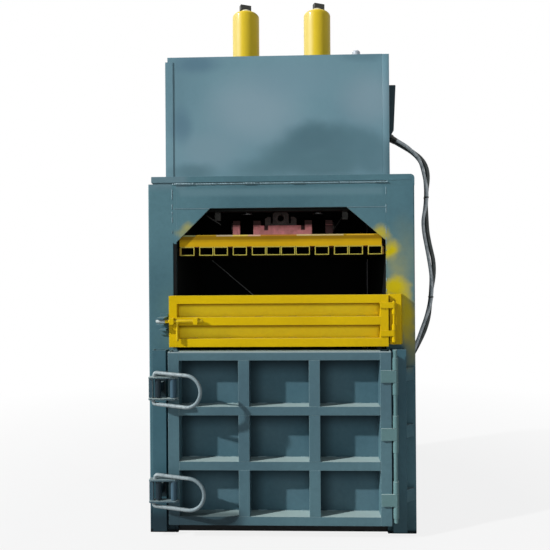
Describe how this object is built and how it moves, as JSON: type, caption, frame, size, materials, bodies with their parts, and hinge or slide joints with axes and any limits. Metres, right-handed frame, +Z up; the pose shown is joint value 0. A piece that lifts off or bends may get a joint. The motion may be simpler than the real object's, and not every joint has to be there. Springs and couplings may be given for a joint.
{
  "type": "recycling baler",
  "caption": "Vertical hydraulic recycling baler with a strap-slotted platen, a feed door with a bolt and a ribbed main door with claw latches.",
  "frame": {"origin": "on the floor under the middle of the machine", "axes": "+X to the viewer's right, -Y to the front with the doors, +Z up"},
  "size_m": [1.6955, 1.1315, 3.178],
  "materials": {
    "blue_paint": "satin blue-grey machine enamel",
    "yellow_paint": "glossy safety yellow enamel",
    "bare_steel": "bare drawn and ground steel",
    "zinc_plate": "zinc plated",
    "chrome_rod": "hard chrome, ground",
    "red_primer": "matt red oxide primer",
    "machined_iron": "machined cast iron, oiled",
    "teal_paint": "dark satin enamel",
    "black_plastic": "black moulded nylon",
    "cream_plastic": "cream moulded boss",
    "bronze_wear": "bronze wear pad",
    "black_rubber": "black rubber sheath",
    "grey_sheath": "grey PVC sheath",
    "grey_breather": "grey moulded cap"
  },
  "bodies": {
    "frame": {"left_column": "blue_paint", "right_column": "blue_paint", "rear_posts": "blue_paint", "side_walls": "blue_paint", "side_channels": "blue_paint", "rear_wall": "blue_paint", "rear_channels": "blue_paint", "rear_rods": "bare_steel", "header_plate": "blue_paint", "top_beams": "blue_paint", "limit_switches": "black_plastic", "upper_base_frame": "blue_paint", "base_tubes": "blue_paint", "floor_bars": "blue_paint", "jambs": "blue_paint", "jamb_gussets": "blue_paint", "jamb_knuckles": "blue_paint", "hinge_pins": "bare_steel", "feed_hinge_bracket": "yellow_paint", "bolt_keeper": "blue_paint", "door_catches": "bare_steel", "housing_front": "blue_paint", "housing_panels": "blue_paint", "housing_top": "blue_paint", "breather": "grey_breather", "left_cylinder": "yellow_paint", "right_cylinder": "yellow_paint", "flange_bolts": "zinc_plate", "cylinder_bosses": "cream_plastic", "port_blocks": "black_plastic", "oil_tank": "blue_paint", "power_unit": "machined_iron", "terminal_box": "teal_paint", "cable_glands": "black_plastic", "black_hose": "black_rubber", "grey_cable": "grey_sheath", "thin_cable": "black_rubber", "cable_ties": "black_plastic"},
    "platen": {"platen_tubes": "yellow_paint", "platen_beams": "yellow_paint", "platen_plate": "red_primer", "rod_mounts": "red_primer", "guide_block": "machined_iron", "rod_pins": "bare_steel", "piston_rods": "chrome_rod", "guide_shoes": "bronze_wear"},
    "main_door": {"main_door_skin": "blue_paint", "main_door_frame": "blue_paint", "main_door_ribs": "blue_paint", "main_door_hinges": "blue_paint", "latch_lugs": "blue_paint"},
    "feed_door": {"feed_door_skin": "yellow_paint", "feed_door_frame": "yellow_paint", "feed_door_hinges": "yellow_paint", "bolt_guides": "yellow_paint"},
    "feed_bolt": {"feed_bolt": "bare_steel"},
    "upper_latch": {"upper_claw": "bare_steel", "upper_handle": "bare_steel"},
    "lower_latch": {"lower_claw": "bare_steel", "lower_handle": "bare_steel"}
  },
  "joints": [
    {"name": "platen_slide", "type": "slide", "parent": "frame", "child": "platen", "axis": [0, 0, 1], "range_m": [-0.9, 0]},
    {"name": "main_door_hinge", "type": "hinge", "parent": "frame", "child": "main_door", "pos_m": [0.62, -0.43424, 0.558], "axis": [0, 0, 1], "range_deg": [0, 120]},
    {"name": "feed_door_hinge", "type": "hinge", "parent": "frame", "child": "feed_door", "pos_m": [0.62, -0.39824, 1.196], "axis": [0, 0, 1], "range_deg": [0, 120]},
    {"name": "feed_bolt_slide", "type": "slide", "parent": "feed_door", "child": "feed_bolt", "axis": [1, 0, 0], "range_m": [0, 0.06]},
    {"name": "upper_latch_hinge", "type": "hinge", "parent": "main_door", "child": "upper_latch", "pos_m": [-0.584, -0.47424, 0.8405], "axis": [0, 0, 1], "range_deg": [0, 45]},
    {"name": "lower_latch_hinge", "type": "hinge", "parent": "main_door", "child": "lower_latch", "pos_m": [-0.584, -0.47424, 0.2875], "axis": [0, 0, 1], "range_deg": [0, 45]}
  ]
}
